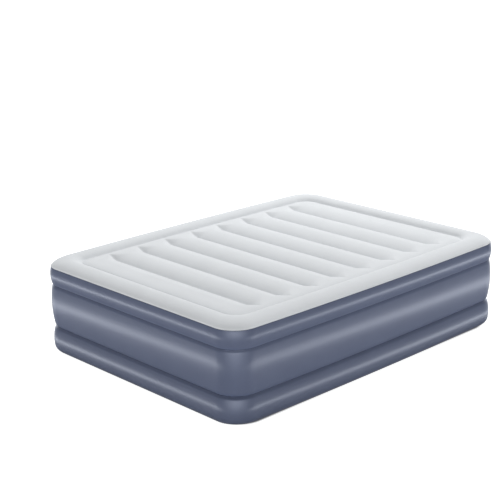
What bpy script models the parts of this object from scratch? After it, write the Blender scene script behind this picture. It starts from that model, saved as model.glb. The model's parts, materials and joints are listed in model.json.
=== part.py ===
"""Raised queen-size air mattress with a built-in mains pump in its head-end wall.

Frame: +X across the bed, +Y towards the head end, +Z up. The origin is on the floor under the middle.
The skin is three side bands, a flocked top and a flat bottom, with cross strips inside that hold its
shape. Every part is a closed solid of its own, and a moving part's origin is on its joint's axis.
"""

import math

import bmesh
import bpy
import numpy as np

# ---- Driving dimensions of the bed (metres) ----
WIDTH = 1.52
LENGTH = 2.03
HEIGHT = 0.51
SIDE_BOW = 0.018            # how far the long sides bow out at their middle
CORNER_RADIUS = 0.13        # plan radius of the outer corners
CORNER_ZONE = 0.25          # square at each corner in which grid lines bend round it
SKIN = 0.0006               # laminated film
GAP = 0.0003                # clearance between parts that touch

SEAM_Z = 0.476              # weld between the top sheet and the side wall
UPPER_WAIST_Z = 0.380
LOWER_WAIST_Z = 0.149
SEAM_INSET = 0.0055
UPPER_WAIST_INSET = 0.011
LOWER_WAIST_INSET = 0.016
FLOOR_ROUND = 0.045         # radius of the wall's turn under the bed
FLOOR_INSET = 0.047         # where the turn reaches the floor

# ---- Top sheet ----
RIM_CREST_INSET = 0.081
CREASE_INSET = 0.138
CREASE_Z = 0.462
CHANNEL_Z = 0.495           # crest of the cross channels
CHANNELS = 9
CHANNEL_PITCH = 2 * (LENGTH / 2 - CREASE_INSET) / CHANNELS
GROOVE_DEPTH = 0.030
GROOVE_FADE = 0.10          # length over which a groove runs out at each end
DOME_RUN = 0.070            # width of the rise from the crease to the channel crest
LINES_PER_CHANNEL = 4
RIM_STEEP = 0.97            # share of a quarter ellipse that each side of the rim tube uses

# ---- Inner strips ----
BEAM_END_GAP = 0.22         # from the outer edge to the end of a top beam
BASE_BEAMS = 5
BASE_BEAM_PITCH = 0.31
BASE_BEAM_HALF = 0.56
WAIST_RING_WIDTH = 0.085
AIR_HOLE = 0.022            # radius of the holes that let air pass
SHEET_HOLE_X = (-0.62, 0.62)
SHEET_HOLE_Y = (-0.72, 0.0, 0.72)
TOP_HOLE_X = (-0.3, 0.0, 0.3)
BASE_HOLE_X = (-0.35, 0.0, 0.35)
BASE_HOLE_Z = 0.19

# ---- Welds ----
SEAM_HEIGHT = 0.004         # how far the top weld reaches below the seam line
SEAM_PROUD = 0.001
SEAM_DEPTH = 0.003
FLOOR_LAP = 0.009           # width of the lap weld under the bed
FLOOR_LAP_THICK = 0.0014
UPPER_BULGE = 0.0080        # how far each band swells past the line between its welds
MIDDLE_BULGE = 0.0135
LOWER_BULGE = 0.006

# ---- Pump, with places across the face as x and z from its middle ----
PUMP_X = 0.38
PUMP_Z = 0.265
FACE_Y = 1.006              # outer face of the face plate
FACE_SIZE = (0.210, 0.150)
FACE_CORNER = 0.017
FACE_THICK = 0.004
BEZEL_SIZE = (0.224, 0.164)
BEZEL_CORNER = 0.024
BEZEL_OUT_Y = 1.0148
BEZEL_ROUND = 0.0025
GASKET_SIZE = (0.209, 0.149)
GASKET_HOLE = (0.203, 0.143)
GASKET_THICK = 0.0015
FLANGE_THICK = 0.0038
PLATE_BACK_Y = FACE_Y - FACE_THICK
GASKET_BACK_Y = PLATE_BACK_Y - GAP - GASKET_THICK
FLANGE_FRONT_Y = GASKET_BACK_Y - GAP
FLANGE_BACK_Y = FLANGE_FRONT_Y - FLANGE_THICK
TUB_SIZE = (0.190, 0.130)
TUB_CORNER = 0.010
TUB_BACK_Y = 0.880
WALL = 0.003
PAST = 0.01                 # how far a cutter runs past what it cuts

SCREW_AT = (0.0955, 0.0655)
SCREW_SHANK = 0.0016
SCREW_HEAD = 0.0040
SCREW_SINK = 0.0020         # depth of the seat for a screw's head
SCREW_CLEAR = 0.0004
HEAD_THICK = 0.0015

DIAL_AT = (0.048, 0.022)
DIAL_RADIUS = 0.026
DIAL_THICK = 0.0027
DIAL_LIFT = 0.0005
GRIP_SIZE = (0.011, 0.046)
GRIP_OUT_Y = 1.0146
SHAFT_RADIUS = 0.0040
SHAFT_HOLE = 0.0068
SEAL_RADII = (0.0044, 0.0064)
SEAL_Y = (FACE_Y - 0.0032, FACE_Y - 0.0010)
DRUM_RADIUS = 0.0180
DRUM_Y = (0.9150, 0.9560)
DRUM_PORT = (0.012, 0.020)
SLEEVE_RADII = (0.0186, 0.0206)
SLEEVE_Y = (0.9120, 0.9540)
SLEEVE_PORT = (0.010, 0.012)
PORT_MARGIN = 0.006         # from a drum's or sleeve's end to its port

ROCKER_AT = (0.080, -0.045)
ROCKER_HOLE = (0.0195, 0.0165)
ROCKER_HALF = 0.0088        # half its width
ROCKER_PIVOT_DEPTH = 0.0035
ROCKER_TILT = 10.0          # degrees each side of level

GRILLE_AT = (0.022, -0.045)
GRILLE_SLOTS = 4
GRILLE_PITCH = 0.007
GRILLE_SLOT = (0.036, 0.003)

DOOR_AT = (-0.052, 0.0)
DOOR_SIZE = (0.079, 0.110)     # leaves half a millimetre to the tub's wall
DOOR_THICK = 0.0025
DOOR_CLEAR = 0.001
HINGE_DEPTH = 0.0028        # from the face to the pin's axis
HINGE_DROP = 0.0035         # from the lid's top edge to the pin's axis
BARREL_RADIUS = 0.0030
BARREL_BORE = 0.0016
PIN_RADIUS = 0.0012
PIN_PROUD = 0.0007
NOTCH_RADIUS = 0.006
NOTCH_DEPTH = 0.0012
BIN_SIZE = (0.076, 0.106)
BIN_BACK_Y = 0.925
BIN_FRONT_Y = PLATE_BACK_Y - 0.004
BIN_WALL = 0.002
GLAND_AT = (-0.034, -0.030)
GLAND_BORE = 0.0035
GLAND_NECK = 0.0061
GLAND_FLANGE = 0.0095
GLAND_BACK_Y = 0.918
GLAND_HEAD = 0.003

MOTOR_AT = (0.045, -0.030)
MOTOR_RADIUS = 0.0180
MOTOR_Y = (0.9500, 0.9880)
MOTOR_BORE = 0.0020
MOTOR_BORE_END_Y = 0.975
ROTOR_Y = 0.95              # where the turning parts have their origin
ROTOR_SHAFT = 0.0015
ROTOR_SHAFT_Y = (0.9080, 0.9740)
FAN_RADIUS = 0.0250
FAN_BORE = 0.0019
FAN_HUB = 0.0070
FAN_Y = (0.9100, 0.9400)
FAN_DISC = 0.0020
BLADES = 6
BLADE_HALF = 0.0007
BLADE_RUN = (0.006, 0.0245)
BLADE_Y = (0.9115, 0.9320)
CASING_RADIUS = 0.0290
CASING_INLET = 0.0120
CASING_WALL = (0.0015, 0.0020)
CASING_Y = (0.9000, 0.9460)
OUTLET_SIZE = (0.012, 0.016)
OUTLET_Y = (0.912, 0.932)

VALVE_AT = (0.004, 0.8995)  # x from the middle of the face, and y
VALVE_BORE = 0.0095
SEAT_RADIUS = 0.0170
SEAT_THICK = 0.003
POPPET_RADIUS = 0.0125
POPPET_THICK = 0.0025
STEM_RADIUS = 0.0022
STEM_DROP = 0.010
CAGE_RADII = (0.0175, 0.0192)
CAGE_HEIGHT = 0.030
CAGE_HOLE = 0.0060
CAGE_ROOF = 0.002
CAGE_WINDOW = (0.050, 0.014)
SPRING_RADIUS = 0.0090
SPRING_WIRE = 0.0006        # half the wire's thickness
SPRING_TURNS = 4

FLOCK = ("#d9dde0", 0.95, 0.0)
WALL_PVC = ("#626b82", 0.38, 0.0)
CLEAR_PVC = ("#c9cdd2", 0.5, 0.0)
DARK_ABS = ("#3b4252", 0.5, 0.0)
MID_ABS = ("#8d95a6", 0.5, 0.0)
RUBBER = ("#24272d", 0.8, 0.0)
STEEL = ("#b9bcc0", 0.3, 1.0)


# ---- Scene, material and mesh helpers ----

def clear_scene():
    for thing in list(bpy.data.objects):
        bpy.data.objects.remove(thing)


def linear(hex_colour):
    """sRGB hex to the linear values that Blender wants."""
    parts = [int(hex_colour[i:i + 2], 16) / 255 for i in (1, 3, 5)]
    return [c / 12.92 if c <= 0.04045 else ((c + 0.055) / 1.055) ** 2.4 for c in parts] + [1.0]


def finish(thing, look):
    """Give an object its own Principled material."""
    colour, roughness, metallic = look
    material = bpy.data.materials.new(thing.name)
    material.use_nodes = True
    shader = material.node_tree.nodes["Principled BSDF"]
    shader.inputs["Base Color"].default_value = linear(colour)
    shader.inputs["Roughness"].default_value = roughness
    shader.inputs["Metallic"].default_value = metallic
    thing.data.materials.clear()
    thing.data.materials.append(material)
    return thing


def add_object(name, points, faces, look=None, origin=(0, 0, 0)):
    """Make an object from world points, with its origin at the given place and its faces outward."""
    origin = np.array(origin, float)
    mesh = bpy.data.meshes.new(name)
    mesh.from_pydata((np.asarray(points, float) - origin).tolist(), [], faces)
    build = bmesh.new()
    build.from_mesh(mesh)
    bmesh.ops.recalc_face_normals(build, faces=build.faces)
    build.to_mesh(mesh)
    build.free()
    mesh.shade_smooth()
    mesh.set_sharp_from_angle(angle=math.radians(35))
    thing = bpy.data.objects.new(name, mesh)
    thing.location = origin
    bpy.context.scene.collection.objects.link(thing)
    return finish(thing, look) if look else thing


def combine(thing, other, operation):
    """Boolean with another object, which is then only a guide."""
    step = thing.modifiers.new(operation.lower(), "BOOLEAN")
    step.operation = operation
    step.object = other
    other.hide_render = True
    other.display_type = "WIRE"
    return thing


def grid_faces(rows, columns, wrap_rows=False, wrap_columns=False):
    """Quads of a grid of rows by columns, joined round where asked."""
    last_row = rows if wrap_rows else rows - 1
    last_column = columns if wrap_columns else columns - 1
    return [
        (i * columns + j, i * columns + (j + 1) % columns,
         (i + 1) % rows * columns + (j + 1) % columns, (i + 1) % rows * columns + j)
        for i in range(last_row) for j in range(last_column)
    ]


def prism(name, outline, low, high, axis, look=None, origin=(0, 0, 0)):
    """Closed outline in the other two axes' coordinates, carried from low to high along one axis."""
    count = len(outline)
    points = []
    for level in (low, high):
        for a, b in outline:
            point = [a, b]
            point.insert("XYZ".index(axis), level)
            points.append(point)
    faces = [tuple(range(count)), tuple(range(2 * count - 1, count - 1, -1))]
    faces += [(k, (k + 1) % count, count + (k + 1) % count, count + k) for k in range(count)]
    return add_object(name, points, faces, look, origin)


def box_outline(centre, size):
    """Outline of a plain rectangle round a centre."""
    a, b = centre
    half_a, half_b = size[0] / 2, size[1] / 2
    signs = ((-1, -1), (1, -1), (1, 1), (-1, 1))
    return [(a + sign_a * half_a, b + sign_b * half_b) for sign_a, sign_b in signs]


def rounded_box(centre, size, radius, steps=3):
    """Outline of a rectangle with round corners."""
    outline = []
    for quarter, (sx, sz) in enumerate(((1, 1), (-1, 1), (-1, -1), (1, -1))):
        for k in range(steps + 1):
            angle = math.radians(90 * (quarter + k / steps))
            outline.append((centre[0] + sx * (size[0] / 2 - radius) + radius * math.cos(angle),
                            centre[1] + sz * (size[1] / 2 - radius) + radius * math.sin(angle)))
    return outline


def circle(centre, radius, sides=16):
    """Outline of a round piece."""
    turn = 2 * math.pi / sides
    return [(centre[0] + radius * math.cos(turn * (k + 0.5)), centre[1] + radius * math.sin(turn * (k + 0.5)))
            for k in range(sides)]


def lathe(name, profile, centre, axis, look, sides=16, origin=(0, 0, 0)):
    """Closed profile of (radius, height) turned round an axis through centre; heights are world values."""
    profile = np.array(profile, float)
    turn = 2 * np.pi * (np.arange(sides) + 0.5) / sides
    ring_a = np.outer(np.cos(turn), profile[:, 0]) + centre[0]
    ring_b = np.outer(np.sin(turn), profile[:, 0]) + centre[1]
    height = np.tile(profile[:, 1], (sides, 1))
    points = [ring_a, ring_b]
    points.insert("XYZ".index(axis), height)
    points = np.stack(points, axis=-1).reshape(-1, 3)
    faces = grid_faces(sides, len(profile), wrap_rows=True, wrap_columns=True)
    return add_object(name, points, faces, look, origin)


def turned(name, steps, centre, axis, look=None, sides=16, origin=(0, 0, 0)):
    """Solid turned piece: a circle for each (radius, height), with both ends closed."""
    points = []
    for radius, height in steps:
        for p, q in circle(centre, radius, sides):
            point = [p, q]
            point.insert("XYZ".index(axis), height)
            points.append(point)
    faces = grid_faces(len(steps), sides, wrap_columns=True)
    faces += [tuple(range(sides)), tuple(range(len(points) - 1, len(points) - 1 - sides, -1))]
    return add_object(name, points, faces, look, origin)


# ---- The plan shape of the bed ----

def corner_round(x, y):
    """Bend the square-cornered plan coordinates round the bed's corners, and bow its long sides.

    Inside a corner's zone, lines at one inset run straight, turn on an arc and run straight again,
    and points keep their share of the way along that line.
    """
    half = np.array([WIDTH / 2, LENGTH / 2])
    point = np.stack([np.abs(x), np.abs(y)], axis=-1)
    local = np.clip(point - (half - CORNER_ZONE), 0, None)
    reach = local.max(axis=-1)
    share = np.divide(local.min(axis=-1), reach, out=np.zeros_like(reach), where=reach > 0)
    depth = reach / CORNER_ZONE
    radius = np.minimum(CORNER_RADIUS * depth ** 0.685, reach)
    straight = reach - radius
    way = share * (straight + radius * np.pi / 4)
    angle = np.divide(np.clip(way - straight, 0, None), radius, out=np.zeros_like(reach), where=radius > 0)
    far = straight + radius * np.cos(angle)
    near = np.where(way < straight, way, straight + radius * np.sin(angle))
    wide = local[..., 0] >= local[..., 1]
    in_zone = local.min(axis=-1) > 0
    moved = half - CORNER_ZONE + np.stack([np.where(wide, far, near), np.where(wide, near, far)], axis=-1)
    point = np.where(in_zone[..., None], moved, point)
    bow = 1 - SIDE_BOW / (WIDTH / 2) * (point[..., 1] / (LENGTH / 2)) ** 2
    return np.sign(x) * point[..., 0] * bow, np.sign(y) * point[..., 1]


def edge_lines(half, inset, corner_steps, middle_steps):
    """Coordinates from -half to half at one inset: close in the corner zones, wide between them."""
    corner = half - CORNER_ZONE + np.linspace(0, 1, corner_steps + 1) * (CORNER_ZONE - inset)
    middle = np.linspace(-(half - CORNER_ZONE), half - CORNER_ZONE, middle_steps + 1)
    return np.concatenate([-corner[:0:-1], middle, corner[1:]])


def loop(inset, z, corner_steps=4, side_steps=6, end_steps=4):
    """Closed loop of points round the bed at one inset and height, counter-clockwise from above."""
    x = edge_lines(WIDTH / 2, inset, corner_steps, end_steps)
    y = edge_lines(LENGTH / 2, inset, corner_steps, side_steps)
    edge_x, edge_y = WIDTH / 2 - inset, LENGTH / 2 - inset
    plan_x = np.concatenate([x[:-1], np.full(len(y) - 1, edge_x), x[:0:-1], np.full(len(y) - 1, -edge_x)])
    plan_y = np.concatenate([np.full(len(x) - 1, -edge_y), y[:-1], np.full(len(x) - 1, edge_y), y[:0:-1]])
    plan_x, plan_y = corner_round(plan_x, plan_y)
    return np.stack([plan_x, plan_y, np.full_like(plan_x, z)], axis=-1)


def ring(name, section, look):
    """Closed section of (inset, z) points carried round the bed."""
    loops = np.array([loop(inset, z) for inset, z in section])
    faces = grid_faces(len(section), loops.shape[1], wrap_rows=True, wrap_columns=True)
    return add_object(name, loops.reshape(-1, 3), faces, look)


def band(name, profile, look):
    """Open wall profile of (inset, z) points, bottom to top, made SKIN thick inwards."""
    profile = np.array(profile, float)
    along = np.gradient(profile, axis=0)
    along /= np.linalg.norm(along, axis=1, keepdims=True)
    inward = np.stack([along[:, 1], -along[:, 0]], axis=1)
    inner = profile + SKIN * inward
    return ring(name, np.concatenate([profile, inner[::-1]]), look)


def bulge(low, high, out, steps):
    """Points of a wall that swells out between two pinched levels, each (inset, z)."""
    across = np.linspace(-1, 1, steps + 1)
    inset = low[0] + (high[0] - low[0]) * (across + 1) / 2 - out * (1 - across ** 2)
    return list(zip(inset, low[1] + (high[1] - low[1]) * (across + 1) / 2))


# ---- Skin ----

def rim_arc(share):
    """Fall of the rim tube from its crest, from 1 down to 0, along most of a quarter ellipse."""
    lowest = math.sqrt(1 - RIM_STEEP ** 2)
    return (np.sqrt(1 - (RIM_STEEP * share) ** 2) - lowest) / (1 - lowest)


def top_height(inset, y):
    """Height of the top sheet: a tube round the edge, then domed cross channels with pressed grooves."""
    outer = np.clip((RIM_CREST_INSET - inset) / (RIM_CREST_INSET - SEAM_INSET), 0, 1)
    rim_outer = SEAM_Z + (HEIGHT - SEAM_Z) * rim_arc(outer)
    inner = np.clip((inset - RIM_CREST_INSET) / (CREASE_INSET - RIM_CREST_INSET), 0, 1)
    rim_inner = CREASE_Z + (HEIGHT - CREASE_Z) * rim_arc(inner)
    inside = inset - CREASE_INSET
    dome = np.sqrt(np.clip(1 - (1 - np.clip(inside / DOME_RUN, 0, 1)) ** 2, 0, 1))
    phase = y / CHANNEL_PITCH + CHANNELS / 2
    away = 2 * np.abs(phase - np.round(phase))
    groove = (1 - away) ** 2
    fade = np.clip((inside - 0.02) / GROOVE_FADE, 0, 1)
    channel = CREASE_Z + (CHANNEL_Z - CREASE_Z) * dome - GROOVE_DEPTH * groove * fade ** 2 * (3 - 2 * fade)
    height = np.where(inset < RIM_CREST_INSET, rim_outer, rim_inner)
    return np.where(inside > 0, np.maximum(channel, CREASE_Z), height)


def make_top_sheet():
    rim = np.array([SEAM_INSET, 0.020, 0.045, RIM_CREST_INSET, 0.118, CREASE_INSET, 0.160, 0.200])
    half_x, half_y = WIDTH / 2, LENGTH / 2
    middle_x = np.linspace(-(half_x - CORNER_ZONE), half_x - CORNER_ZONE, 7)
    x = np.concatenate([-(half_x - rim), middle_x, (half_x - rim)[::-1]])
    rows = CHANNELS * LINES_PER_CHANNEL
    middle_y = (np.arange(rows + 1) - rows / 2) * CHANNEL_PITCH / LINES_PER_CHANNEL
    middle_y = middle_y[np.abs(middle_y) < half_y - CREASE_INSET - 0.01]
    edge = half_y - rim[:6]
    y = np.concatenate([-edge, middle_y, edge[::-1]])
    grid_x, grid_y = np.meshgrid(x, y, indexing="ij")
    inset = np.minimum(half_x - np.abs(grid_x), half_y - np.abs(grid_y))
    plan_x, plan_y = corner_round(grid_x, grid_y)
    points = np.stack([plan_x, plan_y, top_height(inset, plan_y)], axis=-1).reshape(-1, 3)
    sheet = add_object("top_sheet", points, grid_faces(len(x), len(y)), FLOCK)
    wall = sheet.modifiers.new("film", "SOLIDIFY")
    wall.thickness = SKIN
    wall.offset = -1
    return sheet


def make_skin():
    make_top_sheet()
    seam_low = SEAM_Z - SEAM_HEIGHT
    seam_out = SEAM_INSET - SEAM_PROUD
    seam_in = seam_out + SEAM_DEPTH
    seam_high = SEAM_Z - SKIN - GAP / 2
    ring("top_seam", [(seam_out, seam_low + GAP), (seam_out, seam_high), (seam_in, seam_high),
                      (seam_in, seam_low + GAP)], DARK_ABS)
    waist = SKIN / 2 + GAP
    upper = bulge((UPPER_WAIST_INSET, UPPER_WAIST_Z + waist), (SEAM_INSET, seam_low), UPPER_BULGE, 3)
    band("upper_side_band", upper, WALL_PVC)
    middle = bulge((LOWER_WAIST_INSET, LOWER_WAIST_Z + waist),
                   (UPPER_WAIST_INSET, UPPER_WAIST_Z - waist), MIDDLE_BULGE, 4)
    pumped = band("middle_side_band", middle, WALL_PVC)
    cut_size = (BEZEL_SIZE[0] + 2 * GAP, BEZEL_SIZE[1] + 2 * GAP)
    opening = rounded_box(at((0, 0)), cut_size, BEZEL_CORNER + GAP, 4)
    cutter = prism("pump_cutout", opening, FLANGE_BACK_Y - 5 * PAST, BEZEL_OUT_Y + PAST, "Y")
    combine(pumped, cutter, "DIFFERENCE")
    turn = np.radians([270, 248, 225, 203, 180])
    floor = [(FLOOR_INSET + FLOOR_ROUND * math.cos(a), FLOOR_ROUND + FLOOR_ROUND * math.sin(a)) for a in turn]
    rise = bulge(floor[-1], (LOWER_WAIST_INSET, LOWER_WAIST_Z - waist), LOWER_BULGE, 3)
    band("lower_side_band", floor + rise[1:], WALL_PVC)
    under = loop(FLOOR_INSET + GAP, 0)[:, :2]
    prism("bottom_sheet", under.tolist(), 0, SKIN, "Z", WALL_PVC)
    lap = FLOOR_INSET + 0.001
    ring("bottom_seam", [(lap, SKIN + GAP), (lap, SKIN + FLOOR_LAP_THICK),
                         (lap + FLOOR_LAP, SKIN + FLOOR_LAP_THICK), (lap + FLOOR_LAP, SKIN + GAP)], DARK_ABS)


# ---- Inner strips ----

def drill(thing, holes, level, axis, sides=8, reach=0.01):
    """Cut round holes through a strip, each (a, b, radius) in the plane across the axis."""
    for k, (a, b, radius) in enumerate(holes):
        outline = circle((a, b), radius, sides)
        cutter = prism(f"{thing.name}_hole_{k}", outline, level - reach, level + reach, axis)
        combine(thing, cutter, "DIFFERENCE")


def cross_strip(name, half, low, high, y, holes):
    """Upright strip across the bed with a row of air holes."""
    outline = box_outline((0, (low + high) / 2), (2 * half, high - low))
    strip = prism(name, outline, y - SKIN / 2, y + SKIN / 2, "Y", CLEAR_PVC)
    drill(strip, holes, y, "Y")


def make_inner_strips():
    edge = UPPER_WAIST_INSET + 2 * SKIN
    sheet = prism("middle_sheet", loop(edge, 0)[:, :2].tolist(),
                  UPPER_WAIST_Z - SKIN / 2, UPPER_WAIST_Z + SKIN / 2, "Z", CLEAR_PVC)
    holes = [(x, y, AIR_HOLE) for x in SHEET_HOLE_X for y in SHEET_HOLE_Y]
    drill(sheet, holes, UPPER_WAIST_Z, "Z")
    outer = LOWER_WAIST_INSET + 2 * SKIN
    inner = outer + WAIST_RING_WIDTH
    low, high = LOWER_WAIST_Z - SKIN / 2, LOWER_WAIST_Z + SKIN / 2
    ring("waist_ring", [(outer, low), (inner, low), (inner, high), (outer, high)], CLEAR_PVC)
    low, high = UPPER_WAIST_Z + SKIN / 2 + GAP, CHANNEL_Z - GROOVE_DEPTH - SKIN - 3 * GAP
    for k in range(CHANNELS - 1):
        y = (k + 1 - CHANNELS / 2) * CHANNEL_PITCH
        holes = [(x, (low + high) / 2, AIR_HOLE) for x in TOP_HOLE_X]
        cross_strip(f"top_beam_{k + 1}", WIDTH / 2 - BEAM_END_GAP, low, high, y, holes)
    low, high = SKIN + GAP, UPPER_WAIST_Z - SKIN / 2 - GAP
    for k in range(BASE_BEAMS):
        y = (k - (BASE_BEAMS - 1) / 2) * BASE_BEAM_PITCH
        holes = [(x, BASE_HOLE_Z, 2 * AIR_HOLE) for x in BASE_HOLE_X]
        cross_strip(f"base_beam_{k + 1}", BASE_BEAM_HALF, low, high, y, holes)


# ---- Pump ----

def at(offset):
    """A place given from the middle of the face, as world x and z."""
    return PUMP_X + offset[0], PUMP_Z + offset[1]


def frame_piece(name, outer, section, radius, look):
    """Frame round the face: a closed section of (inset from the outer edge, y), carried round."""
    points = []
    for inset, y in section:
        size = (outer[0] - 2 * inset, outer[1] - 2 * inset)
        points += [(x, y, z) for x, z in rounded_box(at((0, 0)), size, radius - inset, 4)]
    faces = grid_faces(len(section), len(points) // len(section), wrap_rows=True, wrap_columns=True)
    return add_object(name, points, faces, look)


def screw_places():
    return [at((side * SCREW_AT[0], level * SCREW_AT[1])) for side in (-1, 1) for level in (-1, 1)]


def make_bezel_and_gasket():
    width = (BEZEL_SIZE[0] - FACE_SIZE[0]) / 2 - GAP
    soft = BEZEL_ROUND * (1 - math.sqrt(0.5))
    section = [(0, FLANGE_BACK_Y), (0, BEZEL_OUT_Y - BEZEL_ROUND), (soft, BEZEL_OUT_Y - soft),
               (BEZEL_ROUND, BEZEL_OUT_Y), (width - soft, BEZEL_OUT_Y), (width, BEZEL_OUT_Y - soft),
               (width, FLANGE_BACK_Y)]
    frame_piece("pump_bezel", BEZEL_SIZE, section, BEZEL_CORNER, DARK_ABS)
    width = (GASKET_SIZE[0] - GASKET_HOLE[0]) / 2
    front = GASKET_BACK_Y + GASKET_THICK
    section = [(0, GASKET_BACK_Y), (0, front), (width, front), (width, GASKET_BACK_Y)]
    frame_piece("face_gasket", GASKET_SIZE, section, FACE_CORNER - GAP, RUBBER)


def make_face():
    outline = rounded_box(at((0, 0)), FACE_SIZE, FACE_CORNER)
    plate = prism("pump_face", outline, PLATE_BACK_Y, FACE_Y, "Y", MID_ABS)
    door_hole = (DOOR_SIZE[0] + 2 * DOOR_CLEAR, DOOR_SIZE[1] + 2 * DOOR_CLEAR)
    cuts = [box_outline(at(DOOR_AT), door_hole), box_outline(at(ROCKER_AT), ROCKER_HOLE),
            circle(at(DIAL_AT), SHAFT_HOLE)]
    for k in range(GRILLE_SLOTS):
        middle = (GRILLE_AT[0], GRILLE_AT[1] + GRILLE_PITCH * (k - (GRILLE_SLOTS - 1) / 2))
        cuts.append(box_outline(at(middle), GRILLE_SLOT))
    cuts += [circle(place, SCREW_SHANK + 2 * SCREW_CLEAR, 10) for place in screw_places()]
    for k, outline in enumerate(cuts):
        combine(plate, prism(f"face_cut_{k}", outline, PLATE_BACK_Y - PAST, FACE_Y + PAST, "Y"), "DIFFERENCE")
    for k, place in enumerate(screw_places()):
        sink = circle(place, SCREW_HEAD + SCREW_CLEAR, 10)
        combine(plate, prism(f"face_sink_{k}", sink, FACE_Y - SCREW_SINK, FACE_Y + PAST, "Y"), "DIFFERENCE")


def make_housing():
    """A tub with a flange, open at the front, with pilot holes and a port for the outlet valve."""
    flange = rounded_box(at((0, 0)), FACE_SIZE, FACE_CORNER)
    tub = prism("pump_housing", flange, FLANGE_BACK_Y, FLANGE_FRONT_Y, "Y", DARK_ABS)
    outer = rounded_box(at((0, 0)), TUB_SIZE, TUB_CORNER)
    combine(tub, prism("tub_outer", outer, TUB_BACK_Y, FLANGE_BACK_Y + 0.001, "Y"), "UNION")
    room = rounded_box(at((0, 0)), (TUB_SIZE[0] - 2 * WALL, TUB_SIZE[1] - 2 * WALL), TUB_CORNER - WALL)
    combine(tub, prism("tub_room", room, TUB_BACK_Y + WALL, FACE_Y + PAST, "Y"), "DIFFERENCE")
    for k, place in enumerate(screw_places()):
        pilot = circle(place, SCREW_SHANK + SCREW_CLEAR, 10)
        combine(tub, prism(f"pilot_{k}", pilot, FLANGE_BACK_Y - PAST, FACE_Y, "Y"), "DIFFERENCE")
    port = circle((PUMP_X + VALVE_AT[0], VALVE_AT[1]), VALVE_BORE, 12)
    combine(tub, prism("valve_port", port, PUMP_Z, PUMP_Z + TUB_SIZE[1], "Z"), "DIFFERENCE")


def make_screws():
    under_head = FACE_Y - SCREW_SINK + GAP
    tip = FLANGE_BACK_Y + 0.0005
    steps = [(SCREW_SHANK, tip), (SCREW_SHANK, under_head), (SCREW_HEAD, under_head),
             (0.9 * SCREW_HEAD, under_head + HEAD_THICK)]
    for k, place in enumerate(screw_places()):
        turned(f"face_screw_{k + 1}", steps, place, "Y", STEEL, 10)


def make_selector():
    x, z = at(DIAL_AT)
    pivot = (x, FACE_Y, z)
    disc = FACE_Y + DIAL_LIFT
    edge = 0.0008
    front = disc + DIAL_THICK
    steps = [(DIAL_RADIUS, disc), (DIAL_RADIUS, front - edge), (DIAL_RADIUS - edge, front)]
    knob = turned("selector_dial", steps, (x, z), "Y", DARK_ABS, 32, pivot)
    grip = rounded_box((x, z), GRIP_SIZE, GRIP_SIZE[0] / 2 - 0.0001)
    combine(knob, prism("dial_grip", grip, disc + DIAL_THICK / 2, GRIP_OUT_Y, "Y"), "UNION")
    shaft = circle((x, z), SHAFT_RADIUS, 12)
    prism("selector_shaft", shaft, DRUM_Y[1] + GAP, disc - GAP, "Y", MID_ABS, pivot)
    lathe("dial_seal", [(SEAL_RADII[0], SEAL_Y[0]), (SEAL_RADII[1], SEAL_Y[0]), (SEAL_RADII[1], SEAL_Y[1]),
                        (SEAL_RADII[0], SEAL_Y[1])], (x, z), "Y", RUBBER, 14)
    drum = prism("valve_drum", circle((x, z), DRUM_RADIUS, 16), *DRUM_Y, "Y", MID_ABS, pivot)
    port = box_outline((x, z - DRUM_RADIUS + PORT_MARGIN), DRUM_PORT)
    cutter = prism("drum_port", port, DRUM_Y[0] + PORT_MARGIN, DRUM_Y[1] - PORT_MARGIN, "Y")
    combine(drum, cutter, "DIFFERENCE")
    inside, outside = SLEEVE_RADII
    sleeve = lathe("valve_sleeve", [(inside, SLEEVE_Y[0]), (outside, SLEEVE_Y[0]), (outside, SLEEVE_Y[1]),
                                    (inside, SLEEVE_Y[1])], (x, z), "Y", MID_ABS, 16)
    port = box_outline((x, z - outside), SLEEVE_PORT)
    window = prism("sleeve_port", port, SLEEVE_Y[0] + 2 * PORT_MARGIN, SLEEVE_Y[1] - PORT_MARGIN, "Y")
    combine(sleeve, window, "DIFFERENCE")


def make_rocker():
    """A switch cap with two raised ends, made already tilted to its off position."""
    x, z = at(ROCKER_AT)
    pivot_y = FACE_Y - ROCKER_PIVOT_DEPTH
    tilt = math.radians(-ROCKER_TILT)
    crown, dip, reach = 0.0062, 0.0050, 0.0066
    shoulder, back, back_reach = 0.0064, -0.0045, 0.0040
    shape = [(crown, -reach), (dip, 0.0), (crown, reach), (0.0, shoulder), (back, back_reach),
             (back, -back_reach), (0.0, -shoulder)]
    c, s = math.cos(tilt), math.sin(tilt)
    outline = [(pivot_y + a * c - b * s, z + a * s + b * c) for a, b in shape]
    prism("power_rocker", outline, x - ROCKER_HALF, x + ROCKER_HALF, "X", DARK_ABS, (x, pivot_y, z))


def make_cord_lid():
    x, z = at(DOOR_AT)
    width, height = DOOR_SIZE
    hinge = (FACE_Y - HINGE_DEPTH, z + height / 2 - HINGE_DROP)
    panel = prism("cord_door", box_outline((x, z), DOOR_SIZE), FACE_Y - DOOR_THICK, FACE_Y, "Y",
                  MID_ABS, (x, *hinge))
    barrel = prism("door_barrel", circle(hinge, BARREL_RADIUS, 12), x - width / 2, x + width / 2, "X")
    combine(panel, barrel, "UNION")
    bore = prism("door_bore", circle(hinge, BARREL_BORE, 10), x - width, x + width, "X")
    combine(panel, bore, "DIFFERENCE")
    notch = circle((x, z - height / 2), NOTCH_RADIUS, 12)
    combine(panel, prism("door_notch", notch, FACE_Y - NOTCH_DEPTH, FACE_Y + PAST, "Y"), "DIFFERENCE")
    half_pin = width / 2 + PIN_PROUD
    prism("door_pin", circle(hinge, PIN_RADIUS, 10), x - half_pin, x + half_pin, "X", STEEL)


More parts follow.
